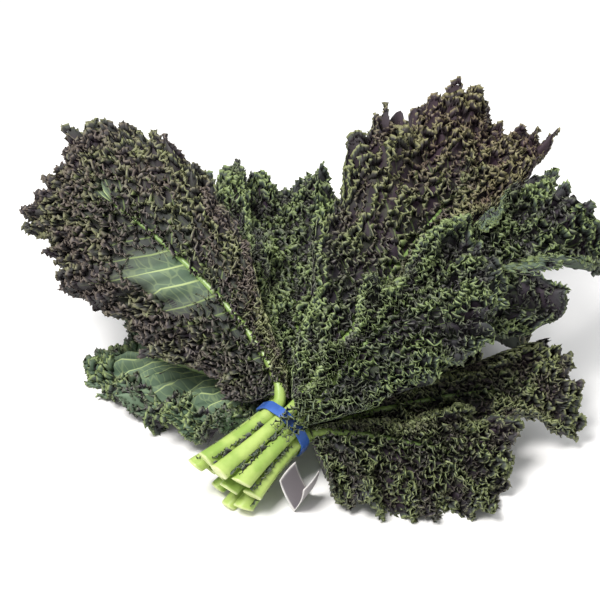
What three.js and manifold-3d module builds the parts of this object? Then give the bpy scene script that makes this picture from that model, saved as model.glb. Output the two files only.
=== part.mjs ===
// A bunch of curly kale, lying on the surface with its cut stalks towards the front left.
// Eleven leaves are held by one flat rubber band. Each leaf is a pale stalk that runs on as the
// midrib, and a dark blade with a ruffled rim. A paper tag, folded into a V, stands beside the
// stalks. Millimetres, +Z up, +X right and +Y away from the front. The origin is at the middle of
// the bottom of the whole bunch.
import * as THREE from "three";
import { mergeVertices } from "three/addons/utils/BufferGeometryUtils.js";
import Module from "manifold-3d";

const wasm = await Module();
wasm.setup();

// Driving dimensions of the bundle
const BAND_CENTRE = new THREE.Vector3(-11, -93, 44);
const BUNDLE_AXIS = new THREE.Vector3(0.67, 0.63, 0.3).normalize();
const RING_RADIUS = 16.5; // nine stalks stand round the bundle at the band
const INNER_RADIUS = 5.4; // and two stand inside them
const CUT_SPREAD = 1.42; // the cut ends stand this much further apart than at the band
const FAN_START = 28; // the leaves part from each other this far past the band
const BAND_WIDTH = 8;
const BAND_THICKNESS = 1.3;
const BAND_BACK = 2.5; // the band sits this far back, where the stalks still run straight

// Driving dimensions of a stalk: half its width and half its height from the cut to the tip
const CUT_WIDTH = 7.4;
const CUT_HEIGHT = 6.4;
const STALK_AT_BAND = 5.1;
const RIB_TIP_WIDTH = 1.1;
const RIB_TIP_HEIGHT = 1;
const STALK_SIDES = 8;
const CUT_SLANT = 0.5; // how steeply the cut ends slope, with their upper side reaching furthest
const STALK_TOP = 0.8; // the upper side of a stalk is this much flatter than the lower one

// Driving dimensions of the folded tag
const TAG_TIP = new THREE.Vector3(7, -120, 3.4);
const TAG_BACK = new THREE.Vector3(0.5, 0.82, 0.12).normalize();
const TAG_HEIGHT = 27;
const TAG_SPREAD = 12; // half the distance between its open ends
const TAG_FOLD = 1.2; // half the width of its fold
const TAG_DEPTH = 22;
const TAG_THICKNESS = 1.2;

// Driving dimensions of a blade
const BLADE_THICKNESS = 1.5;
const BLADE_START = 0.1; // share of the midrib past the band where the blade starts
const RIB_END = 0.94; // share of the midrib where the pale rib fades into the blade
const TIP_FROM = 0.84; // from this share of a side on, the rays turn round the tip
const BASE_SWEEP = 96; // degrees between the midrib and the rays at the base of the blade
const END_SWEEP = 40; // and where they begin to turn round the tip
const LOBES = 8; // lobes that rise and fall, on each side
const LOBE_LENGTH = 0.04; // lobes are this much longer or shorter than the outline
const FOLDS = 44; // ruffles round the whole rim
const RUFFLE_HEIGHT = 0.08; // of the blade's width, to each side, at the rim
const SHORT_RAY = 0.9; // rays shorter than this share of the blade's width have lower ruffles
const LENGTH_CHANGE = 0.15; // of the blade's width, between one ruffle and the next
// Rows of points from the midrib to the rim, with their steps and the height of their ruffles
const BLADE_ROWS = [
  { out: 0, steps: FOLDS / 2, ruffle: 0 },
  { out: 0.4, steps: FOLDS, ruffle: 0 },
  { out: 0.74, steps: FOLDS, ruffle: 0.03 },
  { out: 1, steps: 2 * FOLDS, ruffle: RUFFLE_HEIGHT },
];

// Room between neighbours
const CELL_GAP = 0.8; // between the spaces that two leaves fill
const RIB_ROOM = 5; // between the midribs of two leaves, measured across the plane between them
const STALK_GAP = 0.4; // between a blade and any stalk
const BAND_GAP = 0.9; // between the band and the stalks, and between the band and the blades
const TAG_GAP = 0.8; // between the tag and the blades
const FLOOR_REACH = -6; // lobes press down towards here and are cut flat at the surface
const KNEE = 0.8; // a lobe keeps its shape over this share of the room it has
const ROOM_POWER = 6; // how sharply a ray that is too long is cut short at the end of its room

// Each leaf: where its midrib ends, the way that its upper side faces, its half width, how much
// of that its left and right bases have, how far its lobes rise from the plane of the blade in
// degrees, its place in the band as an angle (or inside the ring), how far its cut end stands out
// of the band, and how far it arches.
const LEAVES = [
  {
    name: "left_tall", tip: [-156, 62, 152], face: [0.1, 0.85, -0.5], width: 102, base: [0.35, 0.8],
    rise: [-2, 10], slot: 110, cut: 66, lift: 26,
  },
  {
    name: "left_low", tip: [-122, 30, 22], face: [0.05, 0.25, -1], width: 78, base: [0.8, 0.6],
    rise: [-10, 16], slot: 190, cut: 60, lift: 0,
  },
  {
    name: "back_left", tip: [-72, 84, 114], face: [-0.1, 0.1, 1], width: 86, base: [1, 1.2],
    rise: [2, 28], slot: 150, cut: 70, lift: 20,
  },
  {
    name: "back_middle", tip: [-14, 102, 98], face: [0, 0.35, 1], width: 78, base: [1.2, 1],
    rise: [5, 38], slot: 180, inner: true, cut: 62, lift: 12,
  },
  {
    name: "right_tall", tip: [140, 112, 144], face: [-0.2, -0.75, 0.6], width: 117, base: [0.75, 1.25],
    rise: [0, 22], slot: 70, cut: 68, lift: 26,
  },
  {
    name: "front_top", tip: [96, -22, 114], face: [0.1, -0.45, 0.9], width: 92, base: [0.7, 0.7],
    rise: [6, 30], slot: 30, cut: 61, lift: 26,
  },
  {
    name: "right_far", tip: [168, 36, 127], face: [0.1, -0.5, 0.85], width: 108, base: [1.3, 1],
    rise: [-8, 30], slot: 0, inner: true, cut: 66, lift: 10,
  },
  {
    name: "right_low", tip: [162, -44, 42], face: [0.2, -0.5, 0.8], width: 88, base: [1, 1],
    rise: [-9, 20], slot: 310, cut: 64, lift: 0,
  },
  {
    name: "front_right", tip: [106, -98, 26], face: [0, -0.6, 0.8], width: 84, base: [0.8, 0.6],
    rise: [-2, 20], slot: 350, cut: 58, lift: -6,
  },
  {
    name: "back_low", tip: [44, 124, 26], face: [-0.1, 0.6, 0.8], width: 74, base: [1, 1],
    rise: [-27, 32], slot: 230, cut: 63, lift: -4,
  },
  {
    name: "back_right", tip: [144, 92, 28], face: [0.2, 0.6, 0.8], width: 80, base: [1, 1],
    rise: [-27, 30], slot: 270, cut: 68, lift: -6,
  },
];

const COLOURS = { blade: 0x2f5a2c, stalk: 0x9dbb5a, band: 0x2f55a8, tag: 0xcfc9c0 };

const UP = new THREE.Vector3(0, 0, 1);
const ACROSS = new THREE.Vector3().crossVectors(BUNDLE_AXIS, UP).normalize();
const ABOVE = new THREE.Vector3().crossVectors(ACROSS, BUNDLE_AXIS).normalize();

const along = (origin, direction, distance) => origin.clone().addScaledVector(direction, distance);

// A steady draw between 0 and 1 for one leaf, lobe and use.
function draw(leafNumber, lobeNumber, use) {
  const x = Math.sin(leafNumber * 12.9898 + lobeNumber * 78.233 + use * 37.719) * 43758.5453;
  return x - Math.floor(x);
}

// The middle line of each stalk and midrib.
for (const [number, leaf] of LEAVES.entries()) {
  const angle = THREE.MathUtils.degToRad(leaf.slot);
  const radius = leaf.inner ? INNER_RADIUS : RING_RADIUS;
  const offset = new THREE.Vector3()
    .addScaledVector(ACROSS, radius * Math.cos(angle))
    .addScaledVector(ABOVE, radius * Math.sin(angle));
  leaf.number = number + 1;
  leaf.slant = CUT_SLANT * (0.4 + 0.8 * draw(leaf.number, 0, 9));
  leaf.inBand = BAND_CENTRE.clone().add(offset);
  leaf.end = new THREE.Vector3(...leaf.tip);
  leaf.facing = new THREE.Vector3(...leaf.face).normalize();
  const fanStart = along(BAND_CENTRE, BUNDLE_AXIS, FAN_START);
  leaf.heading = leaf.end.clone().sub(fanStart).normalize();
  const cutEnd = along(BAND_CENTRE, BUNDLE_AXIS, -leaf.cut).addScaledVector(offset, CUT_SPREAD);
  leaf.stub = new THREE.QuadraticBezierCurve3(
    cutEnd, along(leaf.inBand, BUNDLE_AXIS, -0.45 * leaf.cut), leaf.inBand);
  const reach = leaf.end.distanceTo(leaf.inBand);
  leaf.midrib = new THREE.CubicBezierCurve3(
    leaf.inBand,
    along(leaf.inBand, BUNDLE_AXIS, 0.16 * reach),
    along(leaf.end, leaf.heading, -0.38 * reach).addScaledVector(UP, leaf.lift),
    leaf.end);
}

// Tangent, right and upper directions of the leaf at a share of a curve.
function frameAt(leaf, curve, share) {
  const tangent = curve.getTangent(share);
  const upper = leaf.facing.clone().addScaledVector(tangent, -leaf.facing.dot(tangent)).normalize();
  const right = new THREE.Vector3().crossVectors(tangent, upper);
  return { at: curve.getPoint(share), tangent, right, upper };
}

// The shortest line between the rounded-off bodies of two rows of points, by steps towards it.
function nearestLine(rowA, rowB) {
  const furthest = (row, direction) =>
    row.reduce((best, point) => (point.dot(direction) > best.dot(direction) ? point : best));
  const line = rowB[0].clone().sub(rowA[0]);
  for (let pass = 0; pass < 400; pass++) {
    const corner = furthest(rowB, line.clone().negate()).clone().sub(furthest(rowA, line));
    const move = corner.sub(line);
    const share = -line.dot(move) / Math.max(move.lengthSq(), 1e-9);
    if (share <= 1e-6) break;
    line.addScaledVector(move, Math.min(1, share));
  }
  return line.normalize();
}

// A plane between the midribs of two leaves: square to the turn from one heading to the other
// where that keeps both midribs clear, and otherwise turned towards their shortest line.
function planeBetween(leafA, leafB) {
  const fan = leafB.heading.clone().sub(leafA.heading).normalize();
  const near = nearestLine(leafA.rib, leafB.rib);
  let best;
  for (const turn of [0, 0.15, 0.3, 0.45, 0.6, 0.8, 1]) {
    const normal = fan.clone().lerp(near, turn).normalize();
    const first = Math.max(...leafA.rib.map((point) => normal.dot(point)));
    const second = Math.min(...leafB.rib.map((point) => normal.dot(point)));
    if (!best || second - first > best.room) {
      best = { normal, limit: (first + second) / 2, room: second - first };
    }
    if (best.room > RIB_ROOM) return best;
  }
  return best;
}

// The space of one leaf: the planes between it and each other leaf, and the surface below.
const RIB_POINTS = 16;
for (const leaf of LEAVES) {
  leaf.rib = Array.from({ length: RIB_POINTS }, (_, i) =>
    leaf.midrib.getPoint(BLADE_START + ((1 - BLADE_START) * i) / (RIB_POINTS - 1)));
  leaf.cell = [{ normal: new THREE.Vector3(0, 0, -1), limit: -FLOOR_REACH }];
}
for (const [i, leafA] of LEAVES.entries()) {
  for (const leafB of LEAVES.slice(i + 1)) {
    const { normal, limit } = planeBetween(leafA, leafB);
    leafA.cell.push({ normal, limit: limit - CELL_GAP / 2 });
    leafB.cell.push({ normal: normal.clone().negate(), limit: -limit - CELL_GAP / 2 });
  }
}

// How far a line from a root runs inside the cell.
function roomAlong(root, line, cell) {
  let room = Infinity;
  for (const { normal, limit } of cell) {
    const slope = normal.dot(line);
    if (slope > 1e-6) room = Math.min(room, Math.max(limit - normal.dot(root), 0.5) / slope);
  }
  return room;
}

// Presses a point back along its line from the root, so that it stays inside the cell.
function settle(point, root, cell) {
  const line = point.clone().sub(root);
  const distance = line.length();
  if (distance < 1e-6) return point.clone();
  line.divideScalar(distance);
  const room = roomAlong(root, line, cell);
  const free = KNEE * room;
  if (distance <= free) return point.clone();
  const rest = room - free;
  return along(root, line, free + rest * (1 - Math.exp(-(distance - free) / rest)));
}

// A solid from numbers for its points and its triangles.
function solidFrom(positions, index) {
  const vertProperties = new Float32Array(positions);
  const triVerts = new Uint32Array(index);
  return new wasm.Manifold(new wasm.Mesh({ numProp: 3, vertProperties, triVerts }));
}

// A closed geometry as a solid, with the corners that meet at one point made one.
function solidOf(geometry) {
  const bare = new THREE.BufferGeometry().setAttribute("position", geometry.getAttribute("position"));
  const welded = mergeVertices(bare.setIndex(geometry.getIndex()), 1e-3);
  return solidFrom(welded.getAttribute("position").array, welded.getIndex().array);
}

// A solid as a geometry with its own corners for each triangle.
function geometryOf(solid) {
  const mesh = solid.getMesh();
  const positions = new Float32Array(mesh.numVert * 3);
  for (let i = 0; i < mesh.numVert; i++) {
    const start = i * mesh.numProp;
    positions.set(mesh.vertProperties.subarray(start, start + 3), i * 3);
  }
  const geometry = new THREE.BufferGeometry();
  geometry.setAttribute("position", new THREE.BufferAttribute(positions, 3));
  geometry.setIndex(new THREE.BufferAttribute(mesh.triVerts, 1));
  return geometry.toNonIndexed();
}

// The largest body of a solid: slivers are closed up, and scraps that a cut leaves are dropped.
function largestBody(solid) {
  let body = solid.simplify(0.4);
  for (let pass = 0; pass < 2; pass++) {
    const bodies = solidOf(geometryOf(body)).decompose();
    bodies.sort((a, b) => b.volume() - a.volume());
    body = bodies[0];
  }
  return body;
}

// The triangles between rows of points, the shorter row spread evenly over the longer one.
function trianglesBetween(rows) {
  const triangles = [];
  let first = 0;
  for (let row = 0; row + 1 < rows.length; row++) {
    const inner = rows[row].length - 1;
    const outer = rows[row + 1].length - 1;
    const next = first + rows[row].length;
    let i = 0;
    let j = 0;
    while (i < inner || j < outer) {
      const stepOuter = i === inner || (j < outer && (j + 1) / outer <= (i + 1) / inner + 1e-9);
      if (stepOuter) {
        triangles.push([first + i, next + j + 1, next + j]);
        j += 1;
      } else {
        triangles.push([first + i, first + i + 1, next + j]);
        i += 1;
      }
    }
    first = next;
  }
  return triangles;
}

// The direction square to the sheet at each of its points.
function normalsOf(points, triangles) {
  const normals = points.map(() => new THREE.Vector3());
  for (const [a, b, c] of triangles) {
    const ab = points[b].clone().sub(points[a]);
    const ac = points[c].clone().sub(points[a]);
    const square = ab.cross(ac);
    for (const corner of [a, b, c]) normals[corner].add(square);
  }
  return normals.map((normal) => normal.normalize());
}

// A closed sheet of one thickness from rows of points, with the same triangles on both faces.
// Each point carries its own root on the midrib, and is settled into the cell before the sheet is
// thickened, so that the two faces never meet. Beside the midrib the sheet is thickened straight up
// and down, so that the two sides of a blade that rises to both sides stay apart.
function sheetSolid(rows, cell) {
  const points = rows.flat().map(({ point, at }) => settle(point, at, cell));
  const triangles = trianglesBetween(rows);
  const normals = normalsOf(points, triangles);
  rows[0].forEach(({ upper }, i) => normals[i].copy(upper));
  const positions = [];
  points.forEach((point, i) => {
    for (const side of [1, -1]) {
      positions.push(...along(point, normals[i], (side * BLADE_THICKNESS) / 2).toArray());
    }
  });
  const index = [];
  for (const [a, b, c] of triangles) {
    index.push(2 * a, 2 * b, 2 * c);
    index.push(2 * a + 1, 2 * c + 1, 2 * b + 1);
  }
  const wall = (a, b) => index.push(2 * a, 2 * a + 1, 2 * b, 2 * b, 2 * a + 1, 2 * b + 1);
  let first = 0;
  rows.forEach((row, number) => {
    const last = first + row.length - 1;
    if (number + 1 < rows.length) {
      wall(last + 1, first);
      wall(last, last + rows[number + 1].length);
    }
    for (let i = first; i < last; i++) {
      if (number === 0) wall(i, i + 1);
      if (number === rows.length - 1) wall(i + 1, i);
    }
    first = last + 1;
  });
  return solidFrom(positions, index);
}

// How wide the blade is along its length, as a share of the half width.
const outline = (share) => 0.56 + 0.44 * Math.sin(Math.PI * (0.1 + 0.86 * share));

// Half the width and half the height of the stalk at a share of the midrib.
function ribSize(share) {
  const slim = Math.min(1, share / RIB_END) ** 0.75;
  return {
    width: STALK_AT_BAND + (RIB_TIP_WIDTH - STALK_AT_BAND) * slim,
    height: STALK_AT_BAND + (RIB_TIP_HEIGHT - STALK_AT_BAND) * slim,
  };
}

// One ray of the blade, from the midrib to the rim. The place runs from 0 at the left base, round
// the tip at 1, to 2 at the right base. Rays rise and fall in turn, so that the lobes stand at
// different heights.
function rayAt(leaf, place, out) {
  const side = place < 1 ? -1 : 1;
  const share = place < 1 ? place : 2 - place;
  const alongRib = Math.min(1, share / TIP_FROM);
  const round = Math.max(0, (share - TIP_FROM) / (1 - TIP_FROM));
  const station = BLADE_START + (RIB_END - BLADE_START) * alongRib;
  const { at, tangent, right, upper } = frameAt(leaf, leaf.midrib, station);
  const sweepDegrees = (BASE_SWEEP + (END_SWEEP - BASE_SWEEP) * alongRib) * (1 - round);
  const sweep = THREE.MathUtils.degToRad(sweepDegrees);
  const flat = right.multiplyScalar(side * Math.sin(sweep)).addScaledVector(tangent, Math.cos(sweep));
  const [low, high] = leaf.rise;
  const swing = Math.min(1, 1.4 * out) * (1 - 0.6 * round);
  const lobe = swing * Math.sin(Math.PI * LOBES * place + leaf.number);
  const rise = THREE.MathUtils.degToRad((low + high) / 2 + ((high - low) / 2) * lobe);
  const ray = flat.clone().multiplyScalar(Math.cos(rise)).addScaledVector(upper, Math.sin(rise));
  const normal = upper.clone().multiplyScalar(Math.cos(rise)).addScaledVector(flat, -Math.sin(rise));
  const base = leaf.base[side < 0 ? 0 : 1];
  const uneven = 1 + LOBE_LENGTH * Math.sin(2 * Math.PI * LOBES * place);
  const wanted = leaf.width * (base + (1 - base) * share) * outline(share) * uneven;
  const crowding = (wanted / roomAlong(at, ray, leaf.cell)) ** ROOM_POWER;
  const length = wanted / (1 + crowding) ** (1 / ROOM_POWER);
  return { at, upper, ray, normal, length, root: 0.5 * ribSize(station).width };
}

// Shortens the rays whose neighbours have much less room, so that the rim has no deep notches.
function evenOut(rays, most) {
  for (let i = 1; i < rays.length; i++) {
    rays[i].length = Math.min(rays[i].length, rays[i - 1].length + most);
  }
  for (let i = rays.length - 2; i >= 0; i--) {
    rays[i].length = Math.min(rays[i].length, rays[i + 1].length + most);
  }
}

// The blade of one leaf: a waved sheet from the left base round the tip to the right base.
function bladeSolid(leaf) {
  const rows = BLADE_ROWS.map(({ out, steps, ruffle }) => {
    const rays = Array.from({ length: steps + 1 }, (_, i) => rayAt(leaf, (2 * i) / steps, out));
    evenOut(rays, (LENGTH_CHANGE * leaf.width * FOLDS) / steps);
    return rays.map(({ at, upper, ray, normal, length, root }, i) => {
      const reach = root + length * out * (0.94 + 0.12 * draw(leaf.number, i, 6));
      const fold = (i % 2 ? 1 : -1) * ruffle * (0.7 + 0.6 * draw(leaf.number, i, 5));
      const height = fold * length * Math.min(1, length / (SHORT_RAY * leaf.width));
      return { at, upper, point: along(at, ray, reach).addScaledVector(normal, height) };
    });
  });
  return sheetSolid(rows, leaf.cell);
}

// The pale stalk: widest at the cut, round in the band, then tapering as the midrib. It can be
// grown on all sides, to leave a gap round it in a blade.
function stalkSolid(leaf, grow) {
  const stations = [];
  for (const share of [0, 0.3, 0.65]) {
    const width = CUT_WIDTH + (STALK_AT_BAND - CUT_WIDTH) * share ** 0.7;
    const height = CUT_HEIGHT + (STALK_AT_BAND - CUT_HEIGHT) * share;
    stations.push({ curve: leaf.stub, share, width, height });
  }
  for (const share of [0, 0.08, 0.16, 0.28, 0.42, 0.58, 0.76, RIB_END]) {
    stations.push({ curve: leaf.midrib, share, ...ribSize(share) });
  }
  const positions = [];
  const index = [];
  stations.forEach(({ curve, share, width, height }, row) => {
    const { at, tangent, right, upper } = frameAt(leaf, curve, share);
    if (row === 0) at.addScaledVector(tangent, -grow);
    if (row === stations.length - 1) at.addScaledVector(tangent, grow);
    for (let i = 0; i < STALK_SIDES; i++) {
      const angle = (2 * Math.PI * (i + 0.5)) / STALK_SIDES;
      const top = Math.sin(angle) > 0 ? STALK_TOP : 1;
      const point = along(at, right, (width + grow) * Math.cos(angle));
      point.addScaledVector(upper, (top * height + grow) * Math.sin(angle));
      if (row === 0) point.addScaledVector(tangent, -leaf.slant * point.clone().sub(at).dot(ABOVE));
      positions.push(...point.toArray());
    }
    if (row === 0) return;
    for (let i = 0; i < STALK_SIDES; i++) {
      const j = (i + 1) % STALK_SIDES;
      const a = (row - 1) * STALK_SIDES;
      const b = row * STALK_SIDES;
      index.push(a + i, b + i, a + j, a + j, b + i, b + j);
    }
  });
  const last = (stations.length - 1) * STALK_SIDES;
  for (let i = 1; i + 1 < STALK_SIDES; i++) {
    index.push(0, i, i + 1);
    index.push(last, last + i + 1, last + i);
  }
  return solidFrom(positions, index);
}

// The place of the band: its own z axis points back along the bundle, towards the cut ends.
const BAND_PLACE = new THREE.Matrix4()
  .makeBasis(ACROSS, ABOVE, BUNDLE_AXIS.clone().negate())
  .setPosition(along(BAND_CENTRE, BUNDLE_AXIS, -BAND_BACK));

// A loop drawn tight round the ring of stalks, at a distance from their middles.
function loopRoundStalks(path, distance) {
  const slots = LEAVES.filter((leaf) => !leaf.inner).map((leaf) => leaf.slot);
  slots.sort((a, b) => a - b);
  const half = Math.PI / slots.length;
  for (const slot of slots) {
    const angle = THREE.MathUtils.degToRad(slot);
    const x = RING_RADIUS * Math.cos(angle);
    const y = RING_RADIUS * Math.sin(angle);
    path.absarc(x, y, distance, angle - half, angle + half, false);
  }
  path.closePath();
  return path;
}

// The rubber band: one flat loop.
function bandGeometry() {
  const shape = loopRoundStalks(new THREE.Shape(), STALK_AT_BAND + BAND_GAP + BAND_THICKNESS);
  shape.holes.push(loopRoundStalks(new THREE.Path(), STALK_AT_BAND + BAND_GAP));
  const settings = { depth: BAND_WIDTH, bevelEnabled: false, curveSegments: 3 };
  const geometry = new THREE.ExtrudeGeometry(shape, settings);
  return geometry.translate(0, 0, -BAND_WIDTH / 2).applyMatrix4(BAND_PLACE);
}

// The room of the band, which every blade keeps clear of.
const BAND_ROOM_SIDES = 40;
function bandRoom() {
  const radius = RING_RADIUS + STALK_AT_BAND + 2 * BAND_GAP + BAND_THICKNESS;
  const width = BAND_WIDTH + 2 * BAND_GAP;
  const room = new THREE.CylinderGeometry(radius, radius, width, BAND_ROOM_SIDES);
  return solidOf(room.rotateX(Math.PI / 2).applyMatrix4(BAND_PLACE));
}

// A piece where the tag is, from the corners of its outline, longer than the tag at both ends.
// The tag leans a little, and its open side faces up and to the back.
function tagPiece(corners, longer) {
  const shape = new THREE.Shape(corners.map(([x, y]) => new THREE.Vector2(x, y)));
  const side = new THREE.Vector3().crossVectors(TAG_BACK, UP).normalize();
  const rise = new THREE.Vector3().crossVectors(side, TAG_BACK).normalize();
  const place = new THREE.Matrix4().makeBasis(side, rise, side.clone().cross(rise));
  const settings = { depth: TAG_DEPTH + 2 * longer, bevelEnabled: false };
  const geometry = new THREE.ExtrudeGeometry(shape, settings).translate(0, 0, -longer);
  return geometry.applyMatrix4(place.setPosition(TAG_TIP));
}

// The paper tag: one strip folded into a V, with its fold down.
function tagGeometry() {
  const inside = TAG_SPREAD - TAG_THICKNESS;
  const corners = [
    [-TAG_SPREAD, TAG_HEIGHT], [-TAG_FOLD, 0], [TAG_FOLD, 0], [TAG_SPREAD, TAG_HEIGHT],
    [inside, TAG_HEIGHT], [0, 1.3 * TAG_THICKNESS], [-inside, TAG_HEIGHT],
  ];
  return tagPiece(corners, 0);
}

// The room of the tag, which every blade keeps clear of.
function tagRoom() {
  const wide = TAG_SPREAD + TAG_GAP;
  const fold = TAG_FOLD + TAG_GAP;
  const high = TAG_HEIGHT + TAG_GAP;
  return solidOf(tagPiece([[-wide, high], [-fold, -TAG_GAP], [fold, -TAG_GAP], [wide, high]], TAG_GAP));
}

function meshOf(name, geometry, colour, roughness) {
  const settings = { color: colour, roughness, metalness: 0, flatShading: true };
  const mesh = new THREE.Mesh(geometry, new THREE.MeshStandardMaterial(settings));
  mesh.geometry.computeVertexNormals();
  mesh.name = name;
  return mesh;
}

const bunch = new THREE.Group();
const grownStalks = LEAVES.map((leaf) => stalkSolid(leaf, STALK_GAP));
const keepClear = wasm.Manifold.union([...grownStalks, bandRoom(), tagRoom()]);
for (const leaf of LEAVES) {
  const stalk = stalkSolid(leaf, 0).trimByPlane([0, 0, 1], 0);
  bunch.add(meshOf(`stalk_${leaf.name}`, geometryOf(stalk), COLOURS.stalk, 0.45));
  let blade = bladeSolid(leaf).subtract(keepClear).trimByPlane([0, 0, 1], 0);
  for (const { normal, limit } of leaf.cell) {
    blade = blade.trimByPlane(normal.clone().negate().toArray(), -limit);
  }
  bunch.add(meshOf(`blade_${leaf.name}`, geometryOf(largestBody(blade)), COLOURS.blade, 0.6));
}
bunch.add(meshOf("rubber_band", bandGeometry(), COLOURS.band, 0.5));
bunch.add(meshOf("tag", tagGeometry(), COLOURS.tag, 0.8));

const box = new THREE.Box3().setFromObject(bunch);
const middle = box.getCenter(new THREE.Vector3());
bunch.position.set(-middle.x, -middle.y, -box.min.z);

export default bunch;
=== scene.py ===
# %% [markdown]
# A bunch of curly kale lies on a pale surface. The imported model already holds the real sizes:
# eleven leaves, each a pale stalk and a dark blade, one rubber band and one folded tag. This
# lesson dresses that model. It starts with what every later step needs, the frame and its box.

import math

import bpy
import numpy as np
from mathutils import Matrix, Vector


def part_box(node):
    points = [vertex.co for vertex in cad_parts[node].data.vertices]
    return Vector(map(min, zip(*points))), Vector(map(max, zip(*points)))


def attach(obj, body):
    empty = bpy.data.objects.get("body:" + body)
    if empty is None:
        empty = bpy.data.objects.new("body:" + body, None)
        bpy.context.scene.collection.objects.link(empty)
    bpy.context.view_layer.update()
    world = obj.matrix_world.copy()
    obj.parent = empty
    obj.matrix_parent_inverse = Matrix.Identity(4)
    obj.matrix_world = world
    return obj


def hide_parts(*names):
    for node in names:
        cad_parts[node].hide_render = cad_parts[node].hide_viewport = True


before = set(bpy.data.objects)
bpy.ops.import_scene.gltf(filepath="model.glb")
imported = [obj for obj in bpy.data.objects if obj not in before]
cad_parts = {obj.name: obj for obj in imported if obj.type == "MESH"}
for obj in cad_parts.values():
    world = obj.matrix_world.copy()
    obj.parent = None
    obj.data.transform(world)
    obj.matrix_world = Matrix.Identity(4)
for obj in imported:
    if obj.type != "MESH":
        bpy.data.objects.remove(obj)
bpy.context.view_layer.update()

# %% [markdown]
# The part's source works in millimetres, before the whole bunch is moved to its own middle. This
# lesson uses the same numbers. The folded tag has plain corners, so it tells how far the bunch
# was moved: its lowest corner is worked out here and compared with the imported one.

# %% The tag's shape and the move between the two frames
UP = np.array([0.0, 0.0, 1.0])
METRE = 0.001
TAG_TIP = np.array([7.0, -120.0, 3.4])
TAG_HEIGHT = 27
TAG_SPREAD = 12
TAG_FOLD = 1.2
TAG_DEPTH = 22
TAG_HALF_THICKNESS = 0.6
TAG_BACK = (0.5, 0.82, 0.12)


def unit(vectors):
    """Vectors made one long, whatever the number of them."""
    vectors = np.asarray(vectors, float)
    return vectors / np.maximum(np.linalg.norm(vectors, axis=-1, keepdims=True), 1e-12)


tag_side = unit(np.cross(unit(TAG_BACK), UP))
tag_rise = unit(np.cross(tag_side, unit(TAG_BACK)))
tag_forward = np.cross(tag_side, tag_rise)


def tag_point(across, height, depth):
    """A place on the tag: across its open side, up from its fold, and out along its depth."""
    flat = np.stack(np.broadcast_arrays(across, height, depth), axis=-1)
    return TAG_TIP + flat @ np.array([tag_side, tag_rise, tag_forward])


tag_corners = [(-TAG_SPREAD, TAG_HEIGHT), (-TAG_FOLD, 0), (TAG_FOLD, 0), (TAG_SPREAD, TAG_HEIGHT)]
tag_low = np.min([tag_point(x, y, z) for x, y in tag_corners for z in (0, TAG_DEPTH)], axis=0)
SHIFT = np.array(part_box("tag")[0]) / METRE - tag_low
print("the bunch was moved by", np.round(SHIFT, 3), "mm")


def packed(points):
    """Points of the source, in millimetres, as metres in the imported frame."""
    return (np.asarray(points) + SHIFT) * METRE


# %% [markdown]
# The photograph looks down on the bunch from the front at about 32 degrees, from a little over a
# metre away. The camera comes first, so that every later step can be judged in its view.

# %% Camera
CAMERA_HEIGHT = math.radians(32)
CAMERA_DISTANCE = 1150
CAMERA_TARGET = np.array([0.0, 0.0, 95.0])
PIXELS_PER_MM = 1.30
PHOTO_WIDTH = 600
SENSOR_WIDTH = 36

camera_back = np.array([0.0, -math.cos(CAMERA_HEIGHT), math.sin(CAMERA_HEIGHT)])
camera_data = bpy.data.cameras.new("camera")
camera_data.sensor_width = SENSOR_WIDTH
camera_data.lens = SENSOR_WIDTH * PIXELS_PER_MM * CAMERA_DISTANCE / PHOTO_WIDTH
camera = bpy.data.objects.new("camera", camera_data)
camera.location = packed(CAMERA_TARGET + camera_back * CAMERA_DISTANCE)
camera.rotation_euler = Vector(-camera_back).to_track_quat("-Z", "Y").to_euler()
bpy.context.collection.objects.link(camera)
bpy.context.scene.camera = camera
print("lens", round(camera_data.lens, 1), "mm")

# %% [markdown]
# The bunch lies on white card in soft studio light, so its shadows are close and faint. One
# large plane is the card. A white world fills the shadows. A lamp above the front left is small
# enough to part the curls into bright sides and dark hollows, and a weaker one behind the right
# lights their edges.

# %% Floor and light
FLOOR_SIZE = 12.0


def link(name, data):
    """A new object in the scene."""
    made = bpy.data.objects.new(name, data)
    bpy.context.collection.objects.link(made)
    return made


def area_lamp(name, place, target, size, power, colour):
    """A square soft lamp that looks at a target."""
    data = bpy.data.lights.new(name, "AREA")
    data.shape = "SQUARE"
    data.size = size
    data.energy = power
    data.color = colour
    lamp = link(name, data)
    lamp.location = place
    lamp.rotation_euler = (Vector(target) - Vector(place)).to_track_quat("-Z", "Y").to_euler()
    return lamp


half = FLOOR_SIZE / 2
floor_mesh = bpy.data.meshes.new("floor")
floor_corners = [(-half, -half, 0), (half, -half, 0), (half, half, 0), (-half, half, 0)]
floor_mesh.from_pydata(floor_corners, [], [(0, 1, 2, 3)])
floor = link("floor", floor_mesh)
floor_material = bpy.data.materials.new("white card")
floor_material.use_nodes = True
floor_shader = floor_material.node_tree.nodes["Principled BSDF"]
floor_shader.inputs["Base Color"].default_value = (0.92, 0.915, 0.91, 1)
floor_shader.inputs["Roughness"].default_value = 0.7
floor_mesh.materials.append(floor_material)

world = bpy.data.worlds.new("studio")
world.use_nodes = True
world.node_tree.nodes["Background"].inputs["Color"].default_value = (1, 1, 1, 1)
world.node_tree.nodes["Background"].inputs["Strength"].default_value = 0.6
bpy.context.scene.world = world
area_lamp("key lamp", (-0.55, -0.7, 1.5), (0, 0, 0.08), 0.6, 36, (1.0, 0.98, 0.96))
area_lamp("back lamp", (0.8, 0.9, 1.3), (0, 0, 0.1), 0.9, 9, (0.97, 0.98, 1.0))
bpy.context.scene.view_settings.view_transform = "Standard"

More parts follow.
